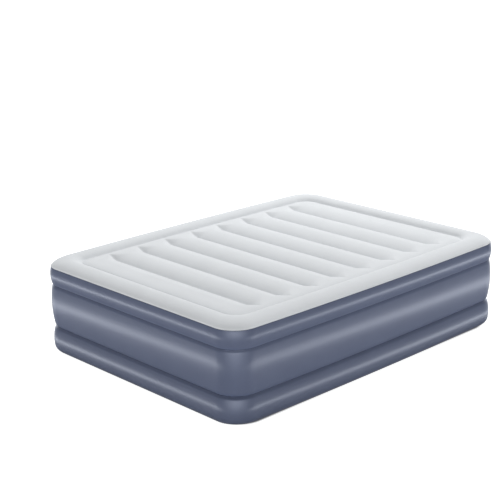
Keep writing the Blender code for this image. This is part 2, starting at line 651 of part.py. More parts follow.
def make_cord_bin():
    x, z = at(DOOR_AT)
    tray = prism("cord_bin", box_outline((x, z), BIN_SIZE), BIN_BACK_Y, BIN_FRONT_Y, "Y", DARK_ABS)
    room = box_outline((x, z), (BIN_SIZE[0] - 2 * BIN_WALL, BIN_SIZE[1] - 2 * BIN_WALL))
    floor = BIN_BACK_Y + BIN_WALL
    combine(tray, prism("bin_room", room, floor, BIN_FRONT_Y + PAST, "Y"), "DIFFERENCE")
    hole = circle(at(GLAND_AT), GLAND_NECK + 0.0004, 12)
    combine(tray, prism("bin_gland_hole", hole, BIN_BACK_Y - PAST, floor + PAST, "Y"), "DIFFERENCE")
    flange = floor + GAP
    head = flange + GLAND_HEAD
    lathe("cord_gland", [(GLAND_BORE, GLAND_BACK_Y), (GLAND_NECK, GLAND_BACK_Y), (GLAND_NECK, flange),
                         (GLAND_FLANGE, flange), (GLAND_FLANGE - 0.001, head), (GLAND_BORE, head)],
          at(GLAND_AT), "Y", RUBBER, 12)


def make_fan():
    x, z = at(MOTOR_AT)
    pivot = (x, ROTOR_Y, z)
    motor = prism("motor", circle((x, z), MOTOR_RADIUS, 16), *MOTOR_Y, "Y", STEEL)
    bore = prism("motor_bore", circle((x, z), MOTOR_BORE, 10), MOTOR_Y[0] - PAST, MOTOR_BORE_END_Y, "Y")
    combine(motor, bore, "DIFFERENCE")
    prism("motor_shaft", circle((x, z), ROTOR_SHAFT, 8), *ROTOR_SHAFT_Y, "Y", STEEL, pivot)
    back, front = FAN_Y
    fan = lathe("impeller", [(FAN_BORE, back), (FAN_RADIUS, back), (FAN_RADIUS, back + FAN_DISC),
                             (FAN_HUB, back + FAN_DISC), (FAN_HUB, front), (FAN_BORE, front)],
                (x, z), "Y", MID_ABS, 16, pivot)
    start, end = BLADE_RUN
    for k in range(BLADES):
        angle = 2 * math.pi * (k + 0.25) / BLADES
        c, s = math.cos(angle), math.sin(angle)
        corners = [(start, -BLADE_HALF), (end, -BLADE_HALF), (end, BLADE_HALF), (start, BLADE_HALF)]
        blade = [(x + a * c - b * s, z + a * s + b * c) for a, b in corners]
        combine(fan, prism(f"blade_{k}", blade, *BLADE_Y, "Y"), "UNION")
    rim, floor = CASING_WALL
    low, high = CASING_Y
    casing = lathe("fan_casing", [(CASING_INLET, low), (CASING_RADIUS, low), (CASING_RADIUS, high),
                                  (CASING_RADIUS - rim, high), (CASING_RADIUS - rim, low + floor),
                                  (CASING_INLET, low + floor)], (x, z), "Y", DARK_ABS, 20)
    outlet = prism("casing_outlet", box_outline((x - CASING_RADIUS, z), OUTLET_SIZE), *OUTLET_Y, "Y")
    combine(casing, outlet, "DIFFERENCE")


def make_outlet_valve():
    x, y = PUMP_X + VALVE_AT[0], VALVE_AT[1]
    base = PUMP_Z + TUB_SIZE[1] / 2 + GAP
    lathe("valve_seat", [(VALVE_BORE, base), (SEAT_RADIUS, base), (SEAT_RADIUS, base + SEAT_THICK),
                         (VALVE_BORE, base + SEAT_THICK)], (x, y), "Z", RUBBER, 16)
    disc = base + SEAT_THICK + GAP
    turned("outlet_valve", [(STEM_RADIUS, base - STEM_DROP), (STEM_RADIUS, disc), (POPPET_RADIUS, disc),
                            (POPPET_RADIUS, disc + POPPET_THICK)], (x, y), "Z", RUBBER, 16, (x, y, disc))
    inside, outside = CAGE_RADII
    top = base + CAGE_HEIGHT
    roof = top - CAGE_ROOF
    cage = lathe("valve_cage", [(inside, base), (outside, base), (outside, top), (CAGE_HOLE, top),
                                (CAGE_HOLE, roof), (inside, roof)], (x, y), "Z", DARK_ABS, 16)
    long_side, short_side = CAGE_WINDOW
    for k, size in enumerate(((long_side, short_side), (short_side, long_side))):
        window = prism(f"cage_window_{k}", box_outline((x, y), size), base + 0.005, top - 0.006, "Z")
        combine(cage, window, "DIFFERENCE")
    make_spring(x, y, disc + POPPET_THICK + GAP, roof - GAP)


def make_spring(x, y, low, high):
    """Open coil from low to high: a five-sided wire carried along a helix."""
    steps, sides = 10, 5
    count = SPRING_TURNS * steps + 1
    share = np.linspace(0, 1, count)
    angle = 2 * np.pi * SPRING_TURNS * share
    rise = low + SPRING_WIRE + (high - low - 2 * SPRING_WIRE) * share
    around = 2 * np.pi * np.arange(sides) / sides
    reach = SPRING_RADIUS + SPRING_WIRE * np.cos(around)[None, :]
    points = np.stack([x + reach * np.cos(angle)[:, None], y + reach * np.sin(angle)[:, None],
                       rise[:, None] + SPRING_WIRE * np.sin(around)[None, :]], axis=-1).reshape(-1, 3)
    faces = grid_faces(count, sides, wrap_columns=True)
    faces += [tuple(range(sides)), tuple(range(len(points) - 1, len(points) - 1 - sides, -1))]
    add_object("valve_spring", points, faces, STEEL)


def main():
    clear_scene()
    make_skin()
    make_inner_strips()
    make_bezel_and_gasket()
    make_face()
    make_housing()
    make_screws()
    make_selector()
    make_rocker()
    make_cord_lid()
    make_cord_bin()
    make_fan()
    make_outlet_valve()


main()
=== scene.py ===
# %% [markdown]
# # A raised air mattress
# This file dresses a packed mechanical model. The model brings every part at its real size, in metres,
# standing on the floor at the origin: X runs across the bed, Y towards the head end, Z up. Nothing here
# moves or resizes those parts. The inflated skins get finer surfaces of their own, and every part gets
# a material that says what it is made of.

# %% Load the frame
import json
import math

import bpy
import numpy as np
from mathutils import Euler, Matrix, Vector


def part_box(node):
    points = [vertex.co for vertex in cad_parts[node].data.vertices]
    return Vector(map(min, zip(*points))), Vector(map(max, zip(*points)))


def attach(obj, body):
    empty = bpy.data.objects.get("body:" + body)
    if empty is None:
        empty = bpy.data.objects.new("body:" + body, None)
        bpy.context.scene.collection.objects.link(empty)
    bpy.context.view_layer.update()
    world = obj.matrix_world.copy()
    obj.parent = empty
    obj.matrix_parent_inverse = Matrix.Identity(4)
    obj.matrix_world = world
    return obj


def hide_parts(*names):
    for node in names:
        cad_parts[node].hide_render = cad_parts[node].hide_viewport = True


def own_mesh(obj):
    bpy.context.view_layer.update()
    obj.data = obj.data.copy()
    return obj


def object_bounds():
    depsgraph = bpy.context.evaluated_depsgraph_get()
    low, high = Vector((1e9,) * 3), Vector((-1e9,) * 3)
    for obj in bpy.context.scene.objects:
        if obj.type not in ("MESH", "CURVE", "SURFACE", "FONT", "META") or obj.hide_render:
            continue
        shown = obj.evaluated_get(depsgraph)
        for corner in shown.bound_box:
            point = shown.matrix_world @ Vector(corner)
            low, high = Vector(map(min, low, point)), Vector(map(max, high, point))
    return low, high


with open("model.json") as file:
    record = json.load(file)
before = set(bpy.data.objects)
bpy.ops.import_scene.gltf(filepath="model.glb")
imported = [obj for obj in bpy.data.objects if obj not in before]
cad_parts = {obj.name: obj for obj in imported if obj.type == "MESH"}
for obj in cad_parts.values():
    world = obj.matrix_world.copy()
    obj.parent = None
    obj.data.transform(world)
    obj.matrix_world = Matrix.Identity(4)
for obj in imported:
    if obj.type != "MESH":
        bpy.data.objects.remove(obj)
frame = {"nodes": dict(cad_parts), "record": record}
cad_box = [list(corner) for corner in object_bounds()]
print("parts:", len(frame["nodes"]), "box:", cad_box)

# %% [markdown]
# ## Sizes that every skin shares
# The skins are welded to each other along level lines. The height of each line is read from the part
# that lies at it, so the fine surfaces meet where the mechanical ones do.

# %% Levels and sizes read from the parts
MM = 0.001
SHARP_ANGLE = math.radians(40)
film = 0.6 * MM
half_width, half_length, height = cad_box[1]
seam_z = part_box("top_seam")[1][2] + film
upper_waist_z = sum(corner[2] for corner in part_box("middle_sheet")) / 2
lower_waist_z = sum(corner[2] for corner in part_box("waist_ring")) / 2
corner_radius = 130 * MM
corner_zone = 250 * MM
corner_power = 0.685
side_bow = 18 * MM
seam_inset = 5.5 * MM
print("seam", round(seam_z, 4), "waists", round(upper_waist_z, 4), round(lower_waist_z, 4))

# %% [markdown]
# ## The plan outline
# Seen from above, the bed is a rectangle with round corners whose long sides bow out a little. A skin
# is easiest to compute on a square-cornered grid, so one function bends such a grid round the corners.
# A line that keeps one distance from the edge still does so after the bend, so rims and welds stay
# parallel.

# %% Bend a grid round the corners
def bend_to_plan(x, y):
    """Move square-cornered plan coordinates onto the bed's outline.

    In a corner's zone a point lies on an L-shaped line at some inset. The L is replaced by straight,
    quarter circle, straight, and the point keeps its share of the way along it. The circle's radius is
    the corner radius times (depth into the zone over its width) to the corner power. Then x shrinks by
    a share that grows with the square of y, which bows the long sides.
    """
    half = np.array([half_width, half_length])
    point = np.stack([np.abs(x), np.abs(y)], axis=-1)
    local = np.clip(point - (half - corner_zone), 0, None)
    reach, across = local.max(axis=-1), local.min(axis=-1)
    safe = np.where(reach > 0, reach, 1)
    radius = np.minimum(corner_radius * (reach / corner_zone) ** corner_power, reach)
    straight = reach - radius
    way = across / safe * (straight + radius * np.pi / 4)
    angle = np.clip(way - straight, 0, None) / np.where(radius > 0, radius, 1)
    far = straight + radius * np.cos(angle)
    near = np.where(way < straight, way, straight + radius * np.sin(angle))
    wide = local[..., 0] >= local[..., 1]
    turned = half - corner_zone + np.stack([np.where(wide, far, near), np.where(wide, near, far)], axis=-1)
    point = np.where((across > 0)[..., None], turned, point)
    bow = 1 - side_bow / half_width * (point[..., 1] / half_length) ** 2
    return np.sign(x) * point[..., 0] * bow, np.sign(y) * point[..., 1]


print("a corner point moves to", [round(float(v), 3) for v in bend_to_plan(half_width, half_length)])

# %% [markdown]
# ## Turning arrays into meshes
# A surface is a grid of points, one row for each step of the first parameter. The faces follow from the
# grid's shape alone, so no vertex is ever handled singly. A grid can be joined round in either
# direction, which makes a tube or a ring.

# %% Grid surface helpers
def grid_quads(rows, columns, wrap_rows=False, wrap_columns=False):
    """Corner numbers of every quad in a grid, as an array of four columns."""
    i = np.arange(rows if wrap_rows else rows - 1)[:, None]
    j = np.arange(columns if wrap_columns else columns - 1)[None, :]
    next_i, next_j = (i + 1) % rows, (j + 1) % columns
    corners = [i * columns + j, next_i * columns + j, next_i * columns + next_j, i * columns + next_j]
    return np.stack([np.broadcast_to(c, (i.size, j.size)) for c in corners], axis=-1).reshape(-1, 4)


def make_mesh(name, points, quads, uv=None):
    """Put points and quads into a smooth mesh object at the origin, with a UV map if one is given."""
    points = np.ascontiguousarray(points.reshape(-1, 3), np.float32)
    mesh = bpy.data.meshes.new(name)
    mesh.vertices.add(len(points))
    mesh.vertices.foreach_set("co", points.ravel())
    mesh.loops.add(quads.size)
    mesh.loops.foreach_set("vertex_index", quads.ravel().astype(np.int32))
    mesh.polygons.add(len(quads))
    mesh.polygons.foreach_set("loop_start", np.arange(0, quads.size, 4, dtype=np.int32))
    mesh.polygons.foreach_set("use_smooth", np.ones(len(quads), bool))
    if uv is not None:
        layer = mesh.uv_layers.new(name="UVMap")
        layer.data.foreach_set("uv", np.asarray(uv, np.float32).reshape(-1, 2)[quads.ravel()].ravel())
    mesh.update(calc_edges=True)
    thing = bpy.data.objects.new(name, mesh)
    bpy.context.scene.collection.objects.link(thing)
    return thing


def thicken(thing, thickness):
    """Give a single skin its wall, inwards, so that it is a closed solid."""
    wall = thing.modifiers.new("film", "SOLIDIFY")
    wall.thickness = thickness
    wall.offset = -1
    return thing


def settle(thing):
    """Turn an object's modifiers into its mesh."""
    evaluated = thing.evaluated_get(bpy.context.evaluated_depsgraph_get())
    mesh = bpy.data.meshes.new_from_object(evaluated)
    thing.modifiers.clear()
    thing.data = mesh
    return thing


def smooth_step(value):
    """Ease from 0 to 1 with level ends."""
    value = np.clip(value, 0, 1)
    return value * value * (3 - 2 * value)


print("a grid of 3 by 4 points has", len(grid_quads(3, 4)), "quads")
print("closed into a ring it has", len(grid_quads(3, 4, True)))

# %% [markdown]
# ## The flocked top
# The top is one sheet of PVC with a velvety nylon flock. A tube runs all round it. Inside the tube the
# sheet is held down along eight straight lines by strips that reach the sheet below, and the air lifts
# nine cross channels between them. The held lines come up to the surface before they reach the tube,
# so each groove ends in a shallow point. All this is one height formula of the inset and of the way
# along. The grooves stop just above the strips that hold them, so their depth is read from the strips'
# top edges.

# %% Height of the top
crest_inset = 81 * MM
crease_inset = 138 * MM
crease_z = 478 * MM
channel_z = 496 * MM
channels = 9
pitch = 2 * (half_length - crease_inset) / channels
strip_top = max(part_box(f"top_beam_{k}")[1][2] for k in range(1, 9))
groove_depth = channel_z - (strip_top + film + 0.4 * MM)
groove_start = 12 * MM
groove_run = 105 * MM
dome_run = 60 * MM
pointed_share = 0.6
rim_steep = 0.97
arc_reach = 0.9


def rim_arc(share):
    """Fall of the rim tube from 1 at its crest to 0, along most of a quarter ellipse."""
    lowest = math.sqrt(1 - rim_steep ** 2)
    return (np.sqrt(1 - (rim_steep * share) ** 2) - lowest) / (1 - lowest)


def top_height(inset, y):
    """Rim tube as two quarter ellipses, then channels as arcs between held lines.

    Across a channel the height falls from the crest as 1 minus the root of (1 minus share squared),
    scaled to 1 at the held line. The share is the arc's reach times the distance from the crest over
    half the pitch. Near both ends of a groove the fall is a mix of two: one that only gets shallower,
    and one that also gets narrower, which gives a pointed end. The outer halves of the first and the
    last channel stay level, because no line is held there.
    """
    outer = np.clip((crest_inset - inset) / (crest_inset - seam_inset), 0, 1)
    inner = np.clip((inset - crest_inset) / (crease_inset - crest_inset), 0, 1)
    rim = np.where(inset < crest_inset, seam_z + (height - seam_z) * rim_arc(outer),
                   crease_z + (height - crease_z) * rim_arc(inner))
    inside = inset - crease_inset
    dome = np.sqrt(1 - (1 - np.clip(inside / dome_run, 0, 1)) ** 2)
    phase = y / pitch + channels / 2
    share = arc_reach * np.clip(np.abs(phase - np.floor(phase) - 0.5) * 2, 0, 1)
    fall = (1 - np.sqrt(1 - share ** 2)) / (1 - math.sqrt(1 - arc_reach ** 2))
    at_end = np.abs(phase - channels / 2) > channels / 2 - 0.5
    fade = smooth_step((inside - groove_start) / groove_run)
    fall = fall * ~at_end
    groove = (1 - pointed_share) * fall * fade + pointed_share * np.clip(fall - (1 - fade), 0, None)
    channel = crease_z + (channel_z - crease_z) * dome - groove_depth * groove
    return np.where(inside > 0, channel, rim)


print("the rim's crest is", round(float(top_height(crest_inset, 0.0)), 3), "m above the floor")

# %% [markdown]
# ## Building the top
# One grid covers the whole top. Between the corner zones its lines are closest along the length of the
# bed, because the channels rise and fall in that direction. The real sheet is cut flat, and the welds
# and the air pull it into this shape.

# %% Build the top sheet
def side_lines(half, inset, corner_steps, middle_steps):
    """Coordinates along one side: even in the corner zones, and even between them."""
    corner = half - corner_zone + np.linspace(0, 1, corner_steps + 1) * (corner_zone - inset)
    middle = np.linspace(-(half - corner_zone), half - corner_zone, middle_steps + 1)
    return np.concatenate([-corner[:0:-1], middle, corner[1:]])


def make_top():
    """The whole top on one grid, finest along Y between the corner zones."""
    grid_x, grid_y = np.meshgrid(side_lines(half_width, seam_inset, 44, 50),
                                 side_lines(half_length, seam_inset, 44, 236), indexing="ij")
    inset = np.minimum(half_width - np.abs(grid_x), half_length - np.abs(grid_y))
    plan_x, plan_y = bend_to_plan(grid_x, grid_y)
    points = np.stack([plan_x, plan_y, top_height(inset, plan_y)], axis=-1)
    sheet = make_mesh("flocked_top", points, grid_quads(*grid_x.shape), points[..., :2])
    return thicken(sheet, film)


flocked_top = make_top()
print("flocked top:", len(flocked_top.data.polygons), "faces")
print(channels, "channels", round(pitch / MM), "mm apart, grooves", round(groove_depth / MM, 1), "mm deep")

# %% [markdown]
# ## The side walls
# Three strips of film run round the bed. Each is welded at its top and its bottom to something that
# holds it in, and the air swells it out between, so each strip is an arc in section. At a weld the film
# turns in sharply over the last few millimetres, and it puckers there, because the flat strip has to
# take up a little extra length. Both are shapes in the mesh, so they catch the light from every side.

# %% Loops round the bed
def loops_round(insets, corner_steps=56, end_steps=100, side_steps=150):
    """One closed loop of plan points for each inset, counter-clockwise seen from above."""
    rows = []
    for inset in insets:
        x = side_lines(half_width, inset, corner_steps, end_steps)
        y = side_lines(half_length, inset, corner_steps, side_steps)
        edge_x, edge_y = half_width - inset, half_length - inset
        flat_x = np.concatenate([x[:-1], np.full(len(y) - 1, edge_x), x[:0:-1], np.full(len(y) - 1, -edge_x)])
        flat_y = np.concatenate([np.full(len(x) - 1, -edge_y), y[:-1], np.full(len(x) - 1, edge_y), y[:0:-1]])
        rows.append(np.stack(bend_to_plan(flat_x, flat_y), axis=-1))
    return np.array(rows)


def wall_profile(low, high, out, steps, lip_low=0.0, lip_high=0.0, lip_run=7 * MM):
    """Insets and heights of a wall between two held levels, each given as (inset, height).

    The inset is the straight line between the ends, less the bulge times (1 minus the square of the
    way from the middle), plus a lip at each end that dies away as a bell curve of the height.
    """
    across = np.sin(np.linspace(-np.pi / 2, np.pi / 2, steps + 1))
    share = (across + 1) / 2
    z = low[1] + (high[1] - low[1]) * share
    inset = low[0] + (high[0] - low[0]) * share - out * (1 - across ** 2)
    inset = inset + lip_low * np.exp(-((z - low[1]) / lip_run) ** 2)
    inset = inset + lip_high * np.exp(-((high[1] - z) / lip_run) ** 2)
    return inset, z


def puckers(around, z, held_levels, depth=0.15 * MM, run=12 * MM):
    """Small waves round the bed that die away from each held level as an exponential.

    The waves are three sines with whole numbers of waves round the bed, the first two multiplied.
    """
    turn = 2 * np.pi * around / around[-1]
    waves = np.sin(163 * turn) * np.sin(11 * turn + 1.0) + 0.6 * np.sin(97 * turn + 2.0)
    near = sum(np.exp(-np.abs(z - level) / run) for level in held_levels)
    return depth * waves[None, :] * near[:, None]


def make_band(name, insets, z, held_levels, thickness=film):
    """A wall strip through the given profile, bottom to top, with its UV map in metres."""
    plan = loops_round(insets)
    edge = np.diff(plan, axis=1, append=plan[:, :1])
    lengths = np.linalg.norm(edge[0], axis=-1)
    around = np.concatenate([[0], np.cumsum(lengths)])
    tangent = edge + np.roll(edge, 1, axis=1)
    outward = np.stack([tangent[..., 1], -tangent[..., 0]], axis=-1)
    outward /= np.linalg.norm(outward, axis=-1, keepdims=True)
    plan = plan + outward * puckers(around, z, held_levels)[:, :-1, None]
    points = np.concatenate([plan, np.broadcast_to(z[:, None, None], (*plan.shape[:2], 1))], axis=-1)
    up = np.concatenate([[0], np.cumsum(np.hypot(np.diff(insets), np.diff(z)))])
    uv = np.stack(np.broadcast_arrays(around[None, :-1], up[:, None]), axis=-1)
    quads = grid_quads(*plan.shape[:2], wrap_columns=True)[:, ::-1]
    return thicken(make_mesh(name, points, quads, uv), thickness)


print("a loop round the bed has", loops_round(np.zeros(1)).shape[1], "points")

# %% [markdown]
# ## The three bands
# The upper and middle bands are shallow curves between their welds, with a lip at each waist. The lower
# one first turns up from the floor on a quarter circle, because the wall and the bottom sheet round
# into each other there.

# %% Build the three side bands
waist_gap = 0.6 * MM
upper_lip = 3 * MM
lower_lip = 6 * MM
seam_edge = (seam_inset, seam_z - 0.6 * MM)
upper_waist = 7.5 * MM
lower_waist = 11.5 * MM
floor_round, floor_inset = 45 * MM, 47 * MM

inset, z = wall_profile((upper_waist, upper_waist_z + waist_gap), seam_edge, 6.2 * MM, 26, lip_low=upper_lip)
upper_wall = make_band("upper_wall", inset, z, [z[0], z[-1]])

inset, z = wall_profile((lower_waist, lower_waist_z + waist_gap), (upper_waist, upper_waist_z - waist_gap),
                        9.5 * MM, 40, lip_low=lower_lip, lip_high=upper_lip)
middle_wall = make_band("middle_wall", inset, z, [z[0], z[-1]])

turn = np.radians(np.linspace(270, 180, 15))
turn_inset = floor_inset + floor_round * np.cos(turn)
turn_z = floor_round + floor_round * np.sin(turn)
inset, z = wall_profile((turn_inset[-1], turn_z[-1]), (lower_waist, lower_waist_z - waist_gap),
                        5 * MM, 26, lip_high=lower_lip)
inset, z = np.concatenate([turn_inset, inset[1:]]), np.concatenate([turn_z, z[1:]])
lower_wall = make_band("lower_wall", inset, z, [z[-1]])
walls = {"upper_side_band": upper_wall, "middle_side_band": middle_wall, "lower_side_band": lower_wall}
print("walls:", {wall.name: len(wall.data.polygons) for wall in walls.values()})

# %% [markdown]
# ## Weld rolls in painted shade
# Where two sheets are pressed together under heat, there is a weld. At the seam the piece is a small roll of
# squeezed-out film under the flock's edge, and at each waist it lies at the bottom of the fold. These are
# places of narrow shadow, and the rolls' dark colour is painted shade. Each is a small section carried round
# the bed.

# %% Seam roll and waist welds, dark with painted shade
def make_roll(name, inset, z, radius, sides=10):
    """A round section carried round the bed, at one inset and height."""
    angle = 2 * np.pi * np.arange(sides) / sides
    plan = loops_round(inset - radius * np.cos(angle), 40, 60, 90)
    level = z + radius * np.sin(angle)
    points = np.concatenate([plan, np.broadcast_to(level[:, None, None], (*plan.shape[:2], 1))], axis=-1)
    return make_mesh(name, points, grid_quads(*plan.shape[:2], wrap_rows=True, wrap_columns=True)[:, ::-1])


# The rolls wear the darkened weld finish: painted shade under the flock's edge and in each fold.
seam_roll_painted_shade = make_roll("seam_roll_painted_shade", seam_inset + 0.2 * MM, seam_z - 0.4 * MM, 0.9 * MM)
upper_weld_painted_shade = make_roll("upper_waist_weld_painted_shade", upper_waist + upper_lip, upper_waist_z, 0.7 * MM)
lower_weld_painted_shade = make_roll("lower_waist_weld_painted_shade", lower_waist + lower_lip, lower_waist_z, 0.7 * MM)
print("rolls:", [len(roll.data.polygons) for roll in (seam_roll_painted_shade, upper_weld_painted_shade, lower_weld_painted_shade)])

# %% [markdown]
# ## The underside
# The bottom is a flat sheet of the same film. Its outline has to follow the fine curve of the wall's
# turn, so it is made again on a bent grid, like the top.

# %% Bottom skin
def make_bottom():
    """A flat sheet at the floor, out to the line where the wall turns up."""
    edge = floor_inset + 0.3 * MM
    grid_x, grid_y = np.meshgrid(side_lines(half_width, edge, 24, 20), side_lines(half_length, edge, 24, 30),
                                 indexing="ij")
    plan_x, plan_y = bend_to_plan(grid_x, grid_y)
    points = np.stack([plan_x, plan_y, np.zeros_like(plan_x)], axis=-1)
    sheet = make_mesh("bottom_skin", points, grid_quads(*grid_x.shape)[:, ::-1], points[..., :2])
    return thicken(sheet, film)


bottom_skin = make_bottom()
print("bottom skin:", len(bottom_skin.data.polygons), "faces")

# %% [markdown]
# ## The hole for the pump
# The pump sits in the head-end part of the middle wall. Its frame is a rounded rectangle, and the wall
# is cut to the same outline, a hair larger. The cutter is a closed prism from that outline.

# %% Cut the middle wall
def rounded_outline(low, high, radius, steps=8):
    """Points of a rectangle with round corners, as arrays of x and z, counter-clockwise."""
    quarter = np.repeat(np.arange(4), steps + 1)
    angle = np.pi / 2 * (quarter + np.tile(np.linspace(0, 1, steps + 1), 4))
    centre_x = np.where(np.isin(quarter, (0, 3)), high[0] - radius, low[0] + radius)
    centre_z = np.where(quarter < 2, high[1] - radius, low[1] + radius)
    return centre_x + radius * np.cos(angle), centre_z + radius * np.sin(angle)


frame_corner = 24 * MM
past_wall = 30 * MM


def cut_pump_hole(wall, margin=0.3 * MM):
    """Take the frame's outline out of the wall with a boolean, and keep the result."""
    low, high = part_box("pump_bezel")
    lower_left = (low[0] - margin, low[2] - margin)
    upper_right = (high[0] + margin, high[2] + margin)
    x, z = rounded_outline(lower_left, upper_right, frame_corner)
    ring = np.arange(len(x))
    after = (ring + 1) % len(x)
    points = [(a, y, b) for y in (low[1] - past_wall, high[1] + past_wall) for a, b in zip(x, z)]
    sides = np.stack([ring, ring + len(x), after + len(x), after], axis=-1).tolist()
    faces = sides + [ring.tolist(), (ring[::-1] + len(x)).tolist()]
    mesh = bpy.data.meshes.new("cutter")
    mesh.from_pydata(points, [], faces)
    cutter = bpy.data.objects.new("cutter", mesh)
    bpy.context.scene.collection.objects.link(cutter)
    cut = wall.modifiers.new("pump", "BOOLEAN")
    cut.operation = "DIFFERENCE"
    cut.object = cutter
    settle(wall)
    bpy.data.objects.remove(cutter)
    wall.data.set_sharp_from_angle(angle=SHARP_ANGLE)


before = len(middle_wall.data.polygons)
cut_pump_hole(middle_wall)
print("middle wall:", before, "faces before,", len(middle_wall.data.polygons), "after")

# %% [markdown]
# ## The pump's visible parts
# Moulded parts never have knife edges: the tool's edges are rounded, and the light runs along them as a
# thin bright line. Each visible pump part is copied from the mechanical model, its loose triangles are
# merged, its flat faces are joined, and a small bevel rounds the edges.

# %% Refine moulded parts
def refine(node, body, edge, name):
    """A copy of a part with merged points, whole flat faces and rounded edges."""
    source = frame["nodes"][node]
    thing = bpy.data.objects.new(name, source.data.copy())
    bpy.context.scene.collection.objects.link(thing)
    weld = thing.modifiers.new("merge", "WELD")
    weld.merge_threshold = 0.01 * MM
    flat = thing.modifiers.new("flat", "DECIMATE")
    flat.decimate_type = "DISSOLVE"
    flat.angle_limit = math.radians(1)
    bevel = thing.modifiers.new("edge", "BEVEL")
    bevel.width = edge
    bevel.segments = 3
    bevel.limit_method = "ANGLE"
    bevel.angle_limit = math.radians(35)
    bevel.use_clamp_overlap = True
    settle(thing)
    thing.data.shade_smooth()
    thing.data.set_sharp_from_angle(angle=SHARP_ANGLE)
    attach(thing, body)
    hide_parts(node)
    return thing


moulded = {
    "pump_bezel": ("bed", 0.8 * MM, "pump_frame"),
    "pump_face": ("bed", 0.3 * MM, "face_plate"),
    "selector_dial": ("selector", 0.5 * MM, "dial_knob"),
    "power_rocker": ("rocker", 0.5 * MM, "rocker_cap"),
    "cord_door": ("cord_lid", 0.3 * MM, "cord_lid_panel"),
}
pump_pieces = {node: refine(node, *settings) for node, settings in moulded.items()}
for k in range(1, 5):
    pump_pieces[f"face_screw_{k}"] = refine(f"face_screw_{k}", "bed", 0.15 * MM, f"screw_{k}")
print("pump pieces:", {piece.name: len(piece.data.polygons) for piece in pump_pieces.values()})

# %% [markdown]
# ## The valve spring
# A light coil spring holds the outlet valve shut. The coil fills the box of the spring part, and it
# rides on the bed.

# %% Coil spring
def make_spring(turns=4, steps=26, sides=8):
    """A round wire along a helix, whose first and last rings are drawn in almost to a point."""
    low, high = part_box("valve_spring")
    wire = 0.55 * MM
    middle = (np.array(low) + np.array(high)) / 2
    radius = (high[0] - low[0]) / 2 - wire
    share = np.linspace(0, 1, turns * steps + 1)[:, None]
    round_coil = 2 * np.pi * turns * share
    round_wire = 2 * np.pi * np.arange(sides)[None, :] / sides
    closing = np.where((share == 0) | (share == 1), 0.02, 1.0)
    reach = radius + wire * closing * np.cos(round_wire)
    rise = low[2] + wire + (high[2] - low[2] - 2 * wire) * share + wire * closing * np.sin(round_wire)
    across = middle[0] + reach * np.cos(round_coil)
    along = middle[1] + reach * np.sin(round_coil)
    points = np.stack([across, along, rise], axis=-1)
    spring = make_mesh("valve_coil", points, grid_quads(*rise.shape, wrap_columns=True))
    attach(spring, "bed")
    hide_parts("valve_spring")
    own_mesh(spring)
    return spring


valve_coil = make_spring()
print("spring faces:", len(valve_coil.data.polygons))

# %% [markdown]
# ## Colour and node helpers
# A material here is named for the real stuff and the way its surface was made, and the weld's also for the
# shade that is painted into its colour. Its colours are written as the eye sees them, in sRGB hex, and one
# function turns them to the linear values that light needs.

# %% Material helpers
def linear(hex_colour):
    """An sRGB hex colour as the linear values that the shader wants."""
    parts = np.array([int(hex_colour[k:k + 2], 16) / 255 for k in (1, 3, 5)])
    return [*np.where(parts <= 0.04045, parts / 12.92, ((parts + 0.055) / 1.055) ** 2.4), 1.0]


def add_node(tree, kind, settings=None, links=None):
    """Add one node, set its properties and sockets, and link outputs into its inputs."""
    node = tree.nodes.new(kind)
    for key, value in (settings or {}).items():
        if isinstance(key, str) and hasattr(node, key):
            setattr(node, key, value)
        else:
            node.inputs[key].default_value = value
    for key, output in (links or {}).items():
        tree.links.new(output, node.inputs[key])
    return node


def new_material(name, **shader_values):
    """A material with its Principled shader's own sockets set, and its tree and shader."""
    material = bpy.data.materials.new(name)
    material.use_nodes = True
    shader = material.node_tree.nodes["Principled BSDF"]
    for key, value in shader_values.items():
        shader.inputs[key.replace("_", " ")].default_value = value
    return material, material.node_tree, shader


def per_metre(size_mm):
    """Pattern scale for a feature of the given size in millimetres."""
    return 1000 / size_mm


def wear(thing, material):
    """Give an object one material."""
    thing.data.materials.clear()
    thing.data.materials.append(material)


print("one millimetre of grain is scale", per_metre(1))

# %% [markdown]
# ## Flocked PVC
# Flock is a coat of half-millimetre nylon fibres stood upright in glue. It scatters light in every
# direction, so it has no highlight, and a faint sheen at grazing angles. The pile leans a little one way
# or the other in patches as wide as a hand, which gives very soft tone changes. Single fibres would not
# show at this size, so the grain is drawn at 2 mm.

# %% Flocked PVC material
def flocked_pvc():
    material, tree, shader = new_material(
        "flocked_pvc", Roughness=0.92, Sheen_Weight=0.12, Sheen_Roughness=0.6, Specular_IOR_Level=0.15)
    place = add_node(tree, "ShaderNodeTexCoord").outputs["Object"]
    pile = add_node(tree, "ShaderNodeTexNoise", {"Scale": per_metre(2), "Detail": 3.0}, {"Vector": place})
    lean = add_node(tree, "ShaderNodeTexNoise", {"Scale": per_metre(160), "Detail": 2.0}, {"Vector": place})
    nap = add_node(tree, "ShaderNodeMix", {"data_type": "RGBA", 6: linear("#dde0e3"), 7: linear("#e5e8eb")},
                   {0: lean.outputs["Fac"]})
    speck_range = {"From Min": 0.35, "From Max": 0.65, "To Min": 0.96, "To Max": 1.0}
    speck = add_node(tree, "ShaderNodeMapRange", speck_range, {"Value": pile.outputs["Fac"]})
    shade = add_node(tree, "ShaderNodeMix", {"data_type": "RGBA", "blend_type": "MULTIPLY", 0: 1.0},
                     {6: nap.outputs[2], 7: speck.outputs[0]})
    tree.links.new(shade.outputs[2], shader.inputs["Base Color"])
    bump = add_node(tree, "ShaderNodeBump", {"Strength": 0.12, "Distance": 0.5 * MM},
                    {"Height": pile.outputs["Fac"]})
    tree.links.new(bump.outputs["Normal"], shader.inputs["Normal"])
    return material


flock = flocked_pvc()
print("finish:", flock.name)

